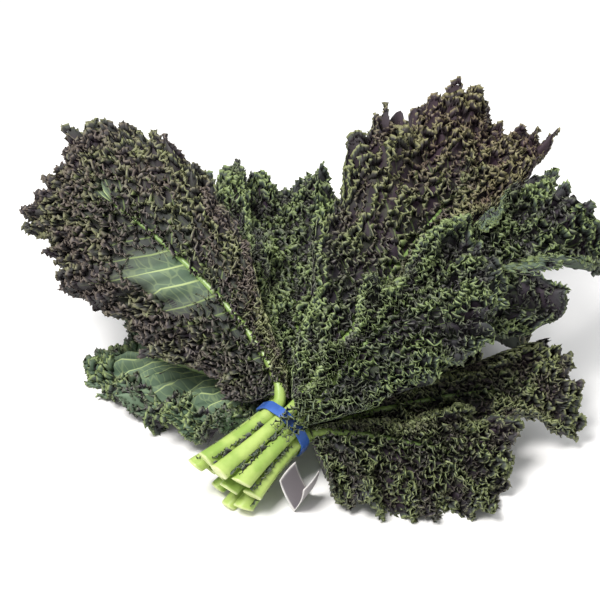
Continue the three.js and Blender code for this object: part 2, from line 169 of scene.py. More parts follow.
# %% [markdown]
# The finer leaves keep the form of the imported ones, so they grow from the same values: where
# each midrib ends, the way its upper side faces, how wide it is, and how far its lobes rise. Only
# what lies between those values is new. Lengths are in millimetres and turns in degrees, and
# numbers below 1 are mostly shares of a length or a width.

# %% The bundle and its leaves, as in the part's source
BAND_CENTRE = np.array([-11.0, -93.0, 44.0])
BUNDLE_AXIS = unit((0.67, 0.63, 0.3))
RING_RADIUS = 16.5
INNER_RADIUS = 5.4
CUT_SPREAD = 1.42
CUT_SLANT = 0.5
CUT_WIDTH = 7.4
CUT_HEIGHT = 6.4
STALK_AT_BAND = 5.1
FAN_START = 28
BAND_WIDTH = 8
BAND_THICKNESS = 1.3
BAND_BACK = 2.5
BAND_GAP = 0.9
BLADE_START = 0.1
RIB_END = 0.94
TIP_FROM = 0.84
BASE_SWEEP = 96
END_SWEEP = 40
LOBES = 8
LOBE_LENGTH = 0.04
FOLDS = 44
RUFFLE_HEIGHT = 0.08
LENGTH_CHANGE = 0.15
CELL_GAP = 0.8
RIB_ROOM = 5
KNEE = 0.8
ROOM_POWER = 6

LEAF_VALUES = ("name", "tip", "face", "width", "base", "rise", "slot", "cut", "lift")
LEAVES = [dict(zip(LEAF_VALUES, values)) for values in (
    ("left_tall", (-156, 62, 152), (0.1, 0.85, -0.5), 102, (0.35, 0.8), (-2, 10), 110, 66, 26),
    ("left_low", (-122, 30, 22), (0.05, 0.25, -1), 78, (0.8, 0.6), (-10, 16), 190, 60, 0),
    ("back_left", (-72, 84, 114), (-0.1, 0.1, 1), 86, (1, 1.2), (2, 28), 150, 70, 20),
    ("back_middle", (-14, 102, 98), (0, 0.35, 1), 78, (1.2, 1), (5, 38), 180, 62, 12),
    ("right_tall", (140, 112, 144), (-0.2, -0.75, 0.6), 117, (0.75, 1.25), (0, 22), 70, 68, 26),
    ("front_top", (96, -22, 114), (0.1, -0.45, 0.9), 92, (0.7, 0.7), (6, 30), 30, 61, 26),
    ("right_far", (168, 36, 127), (0.1, -0.5, 0.85), 108, (1.3, 1), (-8, 30), 0, 66, 10),
    ("right_low", (162, -44, 42), (0.2, -0.5, 0.8), 88, (1, 1), (-9, 20), 310, 64, 0),
    ("front_right", (106, -98, 26), (0, -0.6, 0.8), 84, (0.8, 0.6), (-2, 20), 350, 58, -6),
    ("back_low", (44, 124, 26), (-0.1, 0.6, 0.8), 74, (1, 1), (-27, 32), 230, 63, -4),
    ("back_right", (144, 92, 28), (0.2, 0.6, 0.8), 80, (1, 1), (-27, 30), 270, 68, -6),
)]
INNER_LEAVES = ("back_middle", "right_far")

# Where the handles of the curves lie: shares of the cut length and of the reach of a midrib.
STUB_HANDLE = 0.45
START_HANDLE = 0.16
END_HANDLE = 0.38

ACROSS = unit(np.cross(BUNDLE_AXIS, UP))
ABOVE = unit(np.cross(ACROSS, BUNDLE_AXIS))

# %% [markdown]
# A midrib is a Bezier curve that leaves the band along the bundle and bends towards its own tip.
# One function gives the points of any such curve by halving lines between its handles, and its
# direction is the same function on the differences of the handles.

# %% Curves and the frame along them


def bezier(handles, share):
    """Points of a Bezier curve, for shares from 0 at its start to 1 at its end."""
    share = np.asarray(share, float)[..., None]
    points = [np.asarray(handle, float) for handle in handles]
    while len(points) > 1:
        points = [(1 - share) * a + share * b for a, b in zip(points, points[1:])]
    return points[0]


def direction(handles, share):
    """The direction of a Bezier curve, for the same shares."""
    handles = np.asarray(handles, float)
    return unit(bezier(handles[1:] - handles[:-1], share))


def frames_at(leaf, handles, share):
    """Places along a curve, with the leaf's tangent, right and upper directions there."""
    tangent = direction(handles, share)
    upper = unit(leaf["facing"] - (tangent @ leaf["facing"])[..., None] * tangent)
    return bezier(handles, share), tangent, np.cross(tangent, upper), upper


for number, leaf in enumerate(LEAVES):
    angle = math.radians(leaf["slot"])
    radius = INNER_RADIUS if leaf["name"] in INNER_LEAVES else RING_RADIUS
    offset = radius * (math.cos(angle) * ACROSS + math.sin(angle) * ABOVE)
    leaf["number"] = number + 1
    leaf["in_band"] = BAND_CENTRE + offset
    leaf["end"] = np.array(leaf["tip"], float)
    leaf["facing"] = unit(leaf["face"])
    leaf["heading"] = unit(leaf["end"] - (BAND_CENTRE + FAN_START * BUNDLE_AXIS))
    cut_end = BAND_CENTRE - leaf["cut"] * BUNDLE_AXIS + CUT_SPREAD * offset
    leaf["stub"] = [cut_end, leaf["in_band"] - STUB_HANDLE * leaf["cut"] * BUNDLE_AXIS, leaf["in_band"]]
    reach = np.linalg.norm(leaf["end"] - leaf["in_band"])
    leaf["midrib"] = [
        leaf["in_band"],
        leaf["in_band"] + START_HANDLE * reach * BUNDLE_AXIS,
        leaf["end"] - END_HANDLE * reach * leaf["heading"] + leaf["lift"] * UP,
        leaf["end"],
    ]
    leaf["rib"] = bezier(leaf["midrib"], np.linspace(BLADE_START, 1, 16))
reaches = [np.linalg.norm(leaf["end"] - leaf["in_band"]) for leaf in LEAVES]
print(len(reaches), "midribs that reach", round(min(reaches)), "to", round(max(reaches)), "mm")

# %% [markdown]
# Leaves in a bunch press each other flat where they meet and never pass through each other. Each
# leaf here has a space of its own, between flat planes that lie midway between its midrib and
# each neighbour's. A point that would leave that space is pressed back along its line from the
# midrib. One more plane lies a little below the surface, and what reaches past the surface is
# laid flat on it.

# %% The space of each leaf


def nearest_line(row_a, row_b):
    """The direction of the shortest line between two rows of points, by steps towards it."""
    line = row_b[0] - row_a[0]
    for _ in range(400):
        corner = row_b[np.argmin(row_b @ line)] - row_a[np.argmax(row_a @ line)]
        move = corner - line
        share = -(line @ move) / max(move @ move, 1e-9)
        if share <= 1e-6:
            break
        line = line + min(1, share) * move
    return unit(line)


def plane_between(leaf_a, leaf_b):
    """A plane that keeps two midribs apart, as square to the turn between them as it can be."""
    fan = unit(leaf_b["heading"] - leaf_a["heading"])
    near = nearest_line(leaf_a["rib"], leaf_b["rib"])
    best = None
    for turn in (0, 0.15, 0.3, 0.45, 0.6, 0.8, 1):
        normal = unit((1 - turn) * fan + turn * near)
        first = np.max(leaf_a["rib"] @ normal)
        second = np.min(leaf_b["rib"] @ normal)
        if best is None or second - first > best[2]:
            best = (normal, (first + second) / 2, second - first)
        if best[2] > RIB_ROOM:
            break
    return best[0], best[1]


FLOOR_GAP = 0.4
FLOOR_REACH = 6.0
for leaf in LEAVES:
    leaf["planes"] = [(-UP, FLOOR_REACH)]
for i, leaf_a in enumerate(LEAVES):
    for leaf_b in LEAVES[i + 1:]:
        normal, limit = plane_between(leaf_a, leaf_b)
        leaf_a["planes"].append((normal, limit - CELL_GAP / 2))
        leaf_b["planes"].append((-normal, -limit - CELL_GAP / 2))


def room_along(leaf, roots, lines):
    """How far lines from their roots run inside the leaf's space."""
    normals = np.array([normal for normal, _ in leaf["planes"]])
    limits = np.array([limit for _, limit in leaf["planes"]])
    slopes = lines @ normals.T
    rooms = np.maximum(limits - roots @ normals.T, 0.5) / np.maximum(slopes, 1e-6)
    return np.min(np.where(slopes > 1e-6, rooms, 1e9), axis=-1)


def settle(leaf, points, roots):
    """Presses points back towards their roots, so that they stay inside the leaf's space."""
    lines = points - roots
    distance = np.linalg.norm(lines, axis=-1)
    lines = unit(lines)
    room = room_along(leaf, roots, lines)
    free = KNEE * room
    rest = room - free
    pressed = free + rest * (1 - np.exp(-np.maximum(distance - free, 0) / rest))
    return roots + lines * np.minimum(distance, pressed)[..., None]


BUNDLE_ROOM = 2.6
BUNDLE_LENGTH = 72


def clear_bundle(points):
    """Moves points out of the round space of the band and the cut stalks."""
    offset = points - BAND_CENTRE
    beside = offset @ BUNDLE_AXIS
    outward = offset - beside[..., None] * BUNDLE_AXIS
    distance = np.linalg.norm(outward, axis=-1)
    spread = 1 + (CUT_SPREAD - 1) * np.clip(-beside / BUNDLE_LENGTH, 0, 1)
    keep = RING_RADIUS * spread + STALK_AT_BAND + BAND_GAP + BAND_THICKNESS + BUNDLE_ROOM
    fade = np.clip((10 - beside) / 6, 0, 1)
    pushed = BAND_CENTRE + beside[..., None] * BUNDLE_AXIS + unit(outward) * keep[..., None]
    inside = ((distance < keep) & (beside > -BUNDLE_LENGTH)) * fade
    return points + (pushed - points) * inside[..., None]


# %% [markdown]
# Nothing in a real leaf repeats exactly. A few sine waves whose lengths don't fit each other give
# a smooth, steady unevenness, and the same seed always gives the same waves.

# %% Smooth unevenness


def wander(values, seed):
    """A smooth wave between about -1 and 1 that rises and falls about once as values grow by 1."""
    values = np.asarray(values, float)
    total = np.zeros_like(values)
    for octave, weight in ((1.0, 0.5), (1.618, 0.3), (2.74, 0.2)):
        start = math.sin(seed * 12.9898 + octave * 78.233) * 43758.5453
        total += weight * np.sin(2 * math.pi * octave * values + 2 * math.pi * (start - math.floor(start)))
    return total


CLUMP_SIZE = 46
SIDE_LENGTH = 300


def clumps(leaf, place, out):
    """A soft pattern from 0 in the hollows of a leaf to 1 on its crests, about one clump apart."""
    along_rim = np.asarray(place, float) * SIDE_LENGTH / CLUMP_SIZE
    across = np.asarray(out, float) * leaf["width"] / CLUMP_SIZE
    total = 0.0
    for number, heading in enumerate((0.2, 1.1, 1.9, 2.7)):
        shift = 1.7 * leaf["number"] + 2.3 * number
        wave = along_rim * math.cos(heading) + across * math.sin(heading) + 0.15 * np.sin(5 * across + shift)
        total = total + np.sin(2 * math.pi * wave + shift)
    return np.clip(0.5 + 0.32 * total, 0, 1)


# %% [markdown]
# A blade is a fan of rays that leave the midrib on both sides and turn round its tip. Along the
# rim the rays rise and fall in turn, which makes the lobes. A place of 0 is the left base, 1 the
# tip and 2 the right base; out is 0 at the midrib and 1 at the rim.

# %% The sheet of a blade


def outline(share):
    """How far the blade reaches to a side along its length, as a share of the furthest."""
    return 0.56 + 0.44 * np.sin(math.pi * (0.1 + 0.86 * share))


def rib_size(share):
    """Half the width and half the height of the stalk at a share of the midrib."""
    slim = np.minimum(1, np.asarray(share) / RIB_END) ** 0.75
    return STALK_AT_BAND - 4.0 * slim, STALK_AT_BAND - 4.1 * slim


def rays(leaf, place, out):
    """Where rays leave the midrib, their direction, the direction square to them, and length."""
    side = np.where(place < 1, -1.0, 1.0)
    share = np.where(place < 1, place, 2 - place)
    along_rib = np.minimum(1, share / TIP_FROM)
    turned = np.maximum(0, (share - TIP_FROM) / (1 - TIP_FROM))
    station = BLADE_START + (RIB_END - BLADE_START) * along_rib
    at, tangent, right, upper = frames_at(leaf, leaf["midrib"], station)
    sweep = np.radians(BASE_SWEEP + (END_SWEEP - BASE_SWEEP) * along_rib) * (1 - turned)
    flat = right * (side * np.sin(sweep))[:, None] + tangent * np.cos(sweep)[:, None]
    low, high = leaf["rise"]
    swing = np.minimum(1, 1.4 * out) * (1 - 0.6 * turned)
    lobe = swing * np.sin(math.pi * LOBES * place + leaf["number"])
    rise = np.radians((low + high) / 2 + (high - low) / 2 * lobe)
    ray = flat * np.cos(rise)[:, None] + upper * np.sin(rise)[:, None]
    normal = upper * np.cos(rise)[:, None] - flat * np.sin(rise)[:, None]
    base = np.where(place < 1, *leaf["base"])
    uneven = 1 + LOBE_LENGTH * np.sin(2 * math.pi * LOBES * place)
    wanted = leaf["width"] * (base + (1 - base) * share) * outline(share) * uneven
    crowding = (wanted / room_along(leaf, at, ray)) ** ROOM_POWER
    length = wanted / (1 + crowding) ** (1 / ROOM_POWER)
    length = length * np.interp(place, np.linspace(0, 2, 2 * FOLDS + 1), leaf["kept"])
    return at, ray, normal, length, 0.5 * rib_size(station)[0]


def even_out(leaf):
    """Shortens rays whose neighbours have much less room, so that the rim has no spikes."""
    place = np.linspace(0, 2, 2 * FOLDS + 1)
    leaf["kept"] = np.ones_like(place)
    full = rays(leaf, place, np.ones_like(place))[3]
    most = LENGTH_CHANGE * leaf["width"] / 2
    length = full.copy()
    for i in range(1, len(place)):
        length[i] = min(length[i], length[i - 1] + most)
    for i in range(len(place) - 2, -1, -1):
        length[i] = min(length[i], length[i + 1] + most)
    leaf["kept"] = length / full


for leaf in LEAVES:
    even_out(leaf)


def sheet_points(leaf, place, out):
    """Points of the waved sheet, with their roots, rays and the directions square to the sheet."""
    at, ray, normal, length, root = rays(leaf, place, out)
    # The ruffles of the rim, made uneven, then a slow sway of the sheet, then its clumps.
    fold = -np.cos(math.pi * FOLDS * place) * RUFFLE_HEIGHT * out ** 2.4
    fold = fold * (1 + 0.35 * wander(place * 9, leaf["number"] + 5))
    fold = fold + 0.05 * out * wander(place * 7 + 1.3 * out, leaf["number"] + 9)
    fold = fold + 0.1 * np.minimum(1, 3 * out) * (clumps(leaf, place, out) - 0.5)
    swell = 1 + 0.05 * wander(place * 14, leaf["number"] + 6)
    points = at + ray * (root + length * out * swell)[:, None] + normal * (fold * length)[:, None]
    return points, at, ray, normal


# %% [markdown]
# Each leaf becomes one mesh of several sheets: the blade itself, and rows of frills that stand on
# it. Every sheet is a closed solid with a thin edge, so the same builder makes them all. It takes
# a grid of points, works out the direction square to it, and places one skin on each side. A few
# numbers are stored at each point for the materials: how near it is to a free rim, its place on
# the leaf, its tone, which is partly random and partly painted light and shade, how purple it is,
# and how pale where it is on the underside.

# %% Thin closed sheets


def quads_of(index):
    """The four-sided faces of a grid of point numbers."""
    corners = [index[:-1, :-1], index[:-1, 1:], index[1:, 1:], index[1:, :-1]]
    return np.stack(corners, axis=-1).reshape(-1, 4)


def store(mesh, name, values):
    """Stores a number at each point of a mesh, for the materials."""
    attribute = mesh.attributes.new(name, "FLOAT", "POINT")
    attribute.data.foreach_set("value", np.asarray(values, np.float32))


class Sheets:
    """Collects thin closed sheets and makes one mesh of them."""

    def __init__(self):
        self.points = []
        self.faces = []
        self.values = {"rim": [], "place": [], "out": [], "under": [], "painted_light_and_tone": [], "flush": []}
        self.count = 0

    def add(self, grid, thickness, rim, place, out, painted_light_and_tone, pale=0.5, flush=0.0):
        """Adds a grid of points, rows by columns by 3, as a closed sheet of that thickness."""
        rows, columns = grid.shape[:2]
        square = unit(np.cross(np.gradient(grid, axis=1), np.gradient(grid, axis=0)))
        lift = square * (np.broadcast_to(thickness, (rows, columns)) / 2)[..., None]
        size = rows * columns
        for sign in (1, -1):
            skin = grid + sign * lift
            skin[..., 2] = np.maximum(skin[..., 2], FLOOR_GAP + 0.15 * sign * (lift[..., 2] != 0))
            self.points.append(skin.reshape(-1, 3))
        top_index = np.arange(size).reshape(rows, columns) + self.count
        under_index = top_index + size
        welded = np.broadcast_to(thickness, (rows, columns)) == 0
        under_index = np.where(welded, top_index, under_index)
        quads = [quads_of(top_index), quads_of(under_index)[:, ::-1]]
        around = [np.concatenate([index[0, :], index[1:, -1], index[-1, -2::-1], index[-2:0:-1, 0]])
                  for index in (top_index, under_index)]
        top, under = around
        walls = np.stack([top, under, np.roll(under, -1), np.roll(top, -1)], axis=-1)
        open_walls = (walls[:, 0] != walls[:, 1]) & (walls[:, 2] != walls[:, 3])
        self.faces += [*quads, walls[open_walls]]
        self.count += 2 * size
        given = {"rim": rim, "place": place, "out": out, "painted_light_and_tone": painted_light_and_tone, "flush": flush}
        for name, value in given.items():
            flat = np.broadcast_to(value, (rows, columns)).reshape(-1)
            self.values[name] += [flat, flat]
        self.values["under"] += [np.zeros(size), np.broadcast_to(pale, (rows, columns)).reshape(-1)]

    def make(self, name):
        """The mesh object of all sheets so far, smooth shaded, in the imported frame."""
        mesh = bpy.data.meshes.new(name)
        points = packed(np.concatenate(self.points))
        faces = np.concatenate(self.faces)
        mesh.vertices.add(len(points))
        mesh.vertices.foreach_set("co", points.ravel())
        mesh.loops.add(faces.size)
        mesh.loops.foreach_set("vertex_index", faces.ravel())
        mesh.polygons.add(len(faces))
        mesh.polygons.foreach_set("loop_start", np.arange(0, faces.size, 4))
        mesh.polygons.foreach_set("use_smooth", np.ones(len(faces), bool))
        mesh.update(calc_edges=True)
        for value_name, parts in self.values.items():
            store(mesh, value_name, np.concatenate(parts))
        print(name, 2 * len(faces), "triangles")
        return link(name, mesh)


# %% [markdown]
# A leaf isn't the same all over. The two leaves at the left turn their underside to the viewer,
# and parts of it are bare of curls: the inner part of the low one's, and a small spot and a
# narrow web beside the midrib of the tall one. Side veins stand out there. Some leaves are
# flushed with purple. Each of these is a function of the place on the leaf, so that shape and
# colour can share it.

# %% Bare patches, side veins and purple
# Stretches along the rim that stay bare, each with the out up to which they are bare.
BARE_PATCHES = {
    "left_tall": [(0.88, 0.98, 0.3), (1.4, 1.53, 0.48)],
    "left_low": [(0.5, 1.78, 0.62)],
}


def covered_spans(leaf, out):
    """The stretches of a frill line that lie outside the bare patches of a leaf."""
    spans, start = [], 0.0
    for first, last, limit in BARE_PATCHES.get(leaf["name"], []):
        if out < limit:
            spans.append((start, first))
            start = last
    return spans + [(start, 2.0)]


# The least paleness of an underside. The other leaves have 0.5.
UNDERSIDE_PALENESS = {"left_tall": 0.15, "left_low": 1.0}
# How strongly a leaf is flushed with purple, round which place, and how far along the rim.
FLUSHES = {
    "right_tall": (1.0, 1.0, 0.5), "left_tall": (0.45, 0.8, 1.3), "right_low": (0.4, 1.0, 1.3),
    "back_right": (0.5, 1.0, 1.3), "front_right": (0.3, 1.0, 1.3),
}


def bareness(leaf, place, out):
    """How bare of frills a leaf is at a place, from 0 to 1 inside its bare patches."""
    bare = np.zeros(np.broadcast(place, out).shape)
    for first, last, limit in BARE_PATCHES.get(leaf["name"], []):
        middle, half = (first + last) / 2, (last - first) / 2
        near = np.clip(1.7 - np.abs(place - middle) / half, 0, 1) * np.clip((limit + 0.1 - out) / 0.2, 0, 1)
        bare = np.maximum(bare, near)
    return bare


def paleness(leaf, place, out):
    """How pale the underside of a leaf is: fully in its bare patches, and less elsewhere."""
    least = UNDERSIDE_PALENESS.get(leaf["name"], 0.5)
    return least + (1 - least) * bareness(leaf, place, out)


# Side veins on each half of a blade, how far they bend, and how far they stand out in mm.
SIDE_VEINS = 17
VEIN_BEND = 0.035
VEIN_HEIGHT = 6.5


def vein_ridge(place, out):
    """How far the side veins stand out of the underside at a place, from 0 to 1."""
    lane = (np.abs(place - 1) + VEIN_BEND * out ** 1.4) * SIDE_VEINS
    return (1 - 2 * np.abs(lane % 1 - 0.5)) ** 1.4 * min(1, 4 * out)


def flush(leaf, place, out):
    """How strongly a leaf is flushed with purple at a place."""
    strength, middle, reach = FLUSHES.get(leaf["name"], (0.0, 1.0, 1.0))
    near = np.clip(1.4 - np.abs(place - middle) / reach, 0, 1)
    return strength * near * np.clip(0.3 + 1.3 * np.asarray(out), 0, 1)


# %% [markdown]
# The curls of curly kale are rims that grew longer than the blade behind them, so they can only
# fold. A frill here is a ribbon: its root follows a line on the blade, and its free edge swings
# from side to side, overhangs at each turn, and swings again at a finer scale. Points are spread
# evenly along the line, so that the curls have one size everywhere. Its two skins meet at the
# root and at the rim, which closes it with few faces.

# %% Frills
CURL_LENGTH = 4.6
POINTS_PER_CURL = 5
FRILL_ROWS = np.array([0, 0.55, 1.0])
SHEET_THICKNESS = 0.7
FRILL_THICKNESS = np.array([[0.0], [0.6], [0.0]])
CURL_SWING = 2.5
# How much painted shade darkens the crests of a leaf beyond those of others, growing along its rim.
PAINTED_CREST_SHADE = {"left_tall": 0.42}


def frill_line(place, out, seed):
    """The out of the wandering line that a frill stands on."""
    return np.clip(out + 0.06 * wander(place * 11, seed), 0, 1)


def frill(sheets, leaf, out, side, height, lean, span, seed):
    """Adds one frill that stands on the blade along a line of constant out."""
    start, stop = span
    place = np.linspace(start, stop, 1800)
    wave_out = frill_line(place, out, seed)
    line = sheet_points(leaf, place, wave_out)[0]
    run = np.concatenate([[0], np.cumsum(np.linalg.norm(np.diff(line, axis=0), axis=1))])
    columns = int(run[-1] / CURL_LENGTH * POINTS_PER_CURL)
    even = np.linspace(0, run[-1], columns)
    place = np.interp(even, run, place)
    wave_out = frill_line(place, out, seed)
    base, roots, ray, normal = sheet_points(leaf, place, wave_out)
    tangent = unit(np.gradient(base, axis=0))
    tilt = np.radians(lean + 30 * wander(even / 27, seed + 1))
    stand = unit(normal * (side * np.sin(tilt))[:, None] + ray * np.cos(tilt)[:, None])
    across = unit(np.cross(tangent, stand))
    fade = np.clip(np.minimum(place - start, stop - place) * 12, 0.15, 1)
    crest = clumps(leaf, place, wave_out)
    crest = np.clip(crest + 0.5 * (wave_out - 0.6), 0, 1)
    tall = height * (0.7 + 0.5 * crest) * (1 + 0.2 * wander(even / 26, seed + 2)) * fade
    phase = 2 * math.pi * even / CURL_LENGTH + 2.0 * wander(even / 19, seed + 3)
    swing = CURL_SWING * (1 + 0.4 * wander(even / 17, seed + 4)) * fade
    rows = []
    for up in FRILL_ROWS:
        wide = swing * up ** 1.15 * np.sin(phase)
        fine = 0.6 * up ** 2.5 * np.sin(2.37 * phase + seed)
        over = 1.1 * up ** 1.6 * np.sin(2 * phase + 0.4)
        tip = 0.5 * up ** 4 * np.cos(1.7 * phase + 2 * seed)
        rows.append(base + stand * (up * tall + tip)[:, None]
                    + across * (wide + fine)[:, None] + tangent * over[:, None])
    grid = np.stack(rows)
    grid = clear_bundle(settle(leaf, grid, np.broadcast_to(roots, grid.shape)))
    up = FRILL_ROWS[:, None]
    # The tone paints light on the crests and the outer rows and shade in the hollows, with a random spread
    # on top; some leaves get more painted shade along their rim
    painted_shade = PAINTED_CREST_SHADE.get(leaf["name"], 0) * np.clip(place, 0.5, 1.5)
    painted_light_and_tone = np.clip(crest + 0.2 * wander(even / 13, seed + 7) - painted_shade, 0, 1)
    out = wave_out + 0.1 * up
    sheets.add(grid, FRILL_THICKNESS, up, place, out, painted_light_and_tone,
               paleness(leaf, place, out), flush(leaf, place, out))


# %% [markdown]
# Each leaf's blade is the sheet plus its frills, in rows from the midrib out to the rim. Leaves
# that show their upper side have them there, and the two at the left have them on the underside
# and leave out the bare patches. Rows close to the rim lean over it, so that no edge looks cut.

# %% Blades
SHEET_ROWS = np.linspace(0, 1, 7)
SHEET_COLUMNS = FOLDS * 7 + 1
# Each frill: its out, the side that it stands on, its height, and how steeply in degrees.
FULL_FRILLS = [
    (0.05, 1, 9, 78), (0.14, 1, 9, 76), (0.23, 1, 9, 74), (0.32, 1, 9, 72), (0.41, 1, 9, 70),
    (0.50, 1, 9, 68), (0.59, 1, 9, 66), (0.67, 1, 9, 64), (0.75, 1, 9, 60), (0.82, 1, 8, 54),
    (0.88, 1, 8, 46), (0.93, -1, 6, 40), (0.96, 1, 6, 20),
]
UNDERSIDE_FRILLS = [
    (0.04, -1, 9, 104), (0.13, -1, 10, 88), (0.22, -1, 10, 80), (0.31, -1, 10, 76), (0.40, -1, 10, 72),
    (0.49, -1, 10, 70), (0.58, -1, 10, 68), (0.67, -1, 9, 64), (0.75, -1, 9, 60), (0.82, -1, 8, 54),
    (0.88, -1, 8, 46), (0.93, 1, 6, 40), (0.96, -1, 6, 20),
]


def blade(leaf):
    """The finer blade of one leaf."""
    sheets = Sheets()
    place = np.linspace(0, 2, SHEET_COLUMNS)
    rows = []
    for out in SHEET_ROWS:
        points, roots, _, normal = sheet_points(leaf, place, np.full_like(place, out))
        raised = VEIN_HEIGHT * vein_ridge(place, out) * bareness(leaf, place, out)
        rows.append(clear_bundle(settle(leaf, points - normal * raised[:, None], roots)))
    out = SHEET_ROWS[:, None]
    rim = 0.5 * np.clip((out - 0.8) / 0.2, 0, 1)
    sheets.add(np.stack(rows), SHEET_THICKNESS, rim, place, out, 0.5,
               paleness(leaf, place, out), flush(leaf, place, out))
    frills = UNDERSIDE_FRILLS if leaf["name"] in BARE_PATCHES else FULL_FRILLS
    for step, (out, side, height, lean) in enumerate(frills):
        for span in covered_spans(leaf, out):
            frill(sheets, leaf, out, side, height, lean, span, 10 * leaf["number"] + step)
    made = sheets.make("fine_blade_" + leaf["name"])
    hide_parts("blade_" + leaf["name"])
    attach(made, "root")
    return made


blades = [blade(leaf) for leaf in LEAVES]
print("all blades", sum(2 * len(made.data.polygons) for made in blades), "triangles")

# %% [markdown]
# A kale stalk is thick and round where it was cut, and thins out as it becomes the midrib. It has
# faint ridges along it. Its cut end is a little wider and slants, with a soft edge and a paler
# face. A stalk is a row of rings, so it is built as rings and closed at both ends.

# %% Stalks
STALK_SIDES = 20
STUB_RINGS = 14
RIB_RINGS = 34
# The rings of the cut face and its edge: their size, and how far they are set in.
CUT_RINGS = ((0.12, 0.9), (0.55, 0.7), (0.85, 0.15), (0.97, 0.35))


def draw(number, use):
    """A steady draw between 0 and 1 for one leaf and use."""
    x = math.sin(number * 12.9898 + use * 37.719) * 43758.5453
    return x - math.floor(x)


def stub_size(share):
    """Half the width and half the height of the cut stalk at a share of the way to the band."""
    return 7.2 - 2.1 * share ** 0.7, 6.2 - 1.1 * share


def stalk(leaf):
    """The finer stalk and midrib of one leaf."""
    turn = 2 * math.pi * np.arange(STALK_SIDES) / STALK_SIDES
    rings, shares, caps = [], [], []
    slant = CUT_SLANT * (0.4 + 0.8 * draw(leaf["number"], 9))

    def ring(handles, share, width, height, inset=0.0, cap=0.0):
        at, tangent, right, upper = frames_at(leaf, handles, np.array([share]))
        ridge = 1 + 0.035 * np.cos(6 * turn + leaf["number"]) * (1 - cap)
        flat = np.where(np.sin(turn) > 0, 0.85, 1.0)
        around = (right * (width * ridge * np.cos(turn))[:, None]
                  + upper * (flat * height * ridge * np.sin(turn))[:, None])
        slope = slant * max(0.0, 1 - share / 0.3) if handles is leaf["stub"] else 0.0
        points = at + tangent * (inset - slope * (around @ ABOVE))[:, None] + around
        points[:, 2] = np.maximum(points[:, 2], FLOOR_GAP)
        rings.append(points)
        shares.append(share if handles is leaf["stub"] else 1 + share)
        caps.append(cap)

    for size, inset in CUT_RINGS:
        ring(leaf["stub"], 0, CUT_WIDTH * size, CUT_HEIGHT * size, inset, 1.0)
    for share in np.linspace(0.03, 1, STUB_RINGS):
        ring(leaf["stub"], share, *stub_size(share))
    for share in np.linspace(0.04, RIB_END, RIB_RINGS):
        width, height = rib_size(share)
        ring(leaf["midrib"], share, float(width), float(height))
    points = np.concatenate(rings)
    faces = []
    for row in range(len(rings) - 1):
        for i in range(STALK_SIDES):
            j = (i + 1) % STALK_SIDES
            a, b = row * STALK_SIDES, (row + 1) * STALK_SIDES
            faces.append((a + i, b + i, b + j, a + j))
    faces.append(tuple(range(STALK_SIDES)))
    faces.append(tuple(range(len(points) - 1, len(points) - 1 - STALK_SIDES, -1)))
    mesh = bpy.data.meshes.new("fine_stalk_" + leaf["name"])
    mesh.from_pydata(packed(points).tolist(), [], faces)
    mesh.polygons.foreach_set("use_smooth", np.ones(len(mesh.polygons), bool))
    store(mesh, "along", np.repeat(shares, STALK_SIDES))
    store(mesh, "cap", np.repeat(caps, STALK_SIDES))
    made = link("fine_stalk_" + leaf["name"], mesh)
    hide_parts("stalk_" + leaf["name"])
    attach(made, "root")
    return made


stalks = [stalk(leaf) for leaf in LEAVES]
print(len(stalks), "stalks")

# %% [markdown]
# Small ruffled scraps of blade run down both sides of a kale stalk. They fill the grooves between
# the cut stalks, and one of them ends in a small bright tuft. They are short frills whose root
# follows the side of the stalk. A few longer ones lie over the band and hide part of it.

# %% Scraps of blade on the cut stalks
# The height of the scraps on each stalk that has them.
SCRAP_STALKS = {
    "left_tall": 4.2, "left_low": 4.6, "right_tall": 4.4, "front_top": 4.6, "front_right": 4.6,
    "right_low": 4.2, "back_left": 4.4,
}
# Frills over the band: their place round the bundle in degrees, and their height.
BAND_FRILLS = [(31, 5.0), (38, 6.5), (45, 7.0), (52, 7.0), (59, 6.0), (66, 4.5)]
BAND_FRILL_ROOT = RING_RADIUS + STALK_AT_BAND + BAND_GAP + BAND_THICKNESS + 0.4
TUFT_STALK = "left_low"
TUFT_HEIGHT = 9
SCRAP_CURL = 4.0
BAND_FRILL_BACK = 13
BAND_FRILL_AHEAD = 24


def ribbon(root, stand, across, tangent, tall, phase, swing, over):
    """The rows of a short frill that stands on a line and swings from side to side."""
    return np.stack([root + stand * (up * tall)[:, None]
                     + across * (swing * up * np.sin(phase))[:, None]
                     + tangent * (over * up * np.sin(2 * phase))[:, None] for up in FRILL_ROWS])


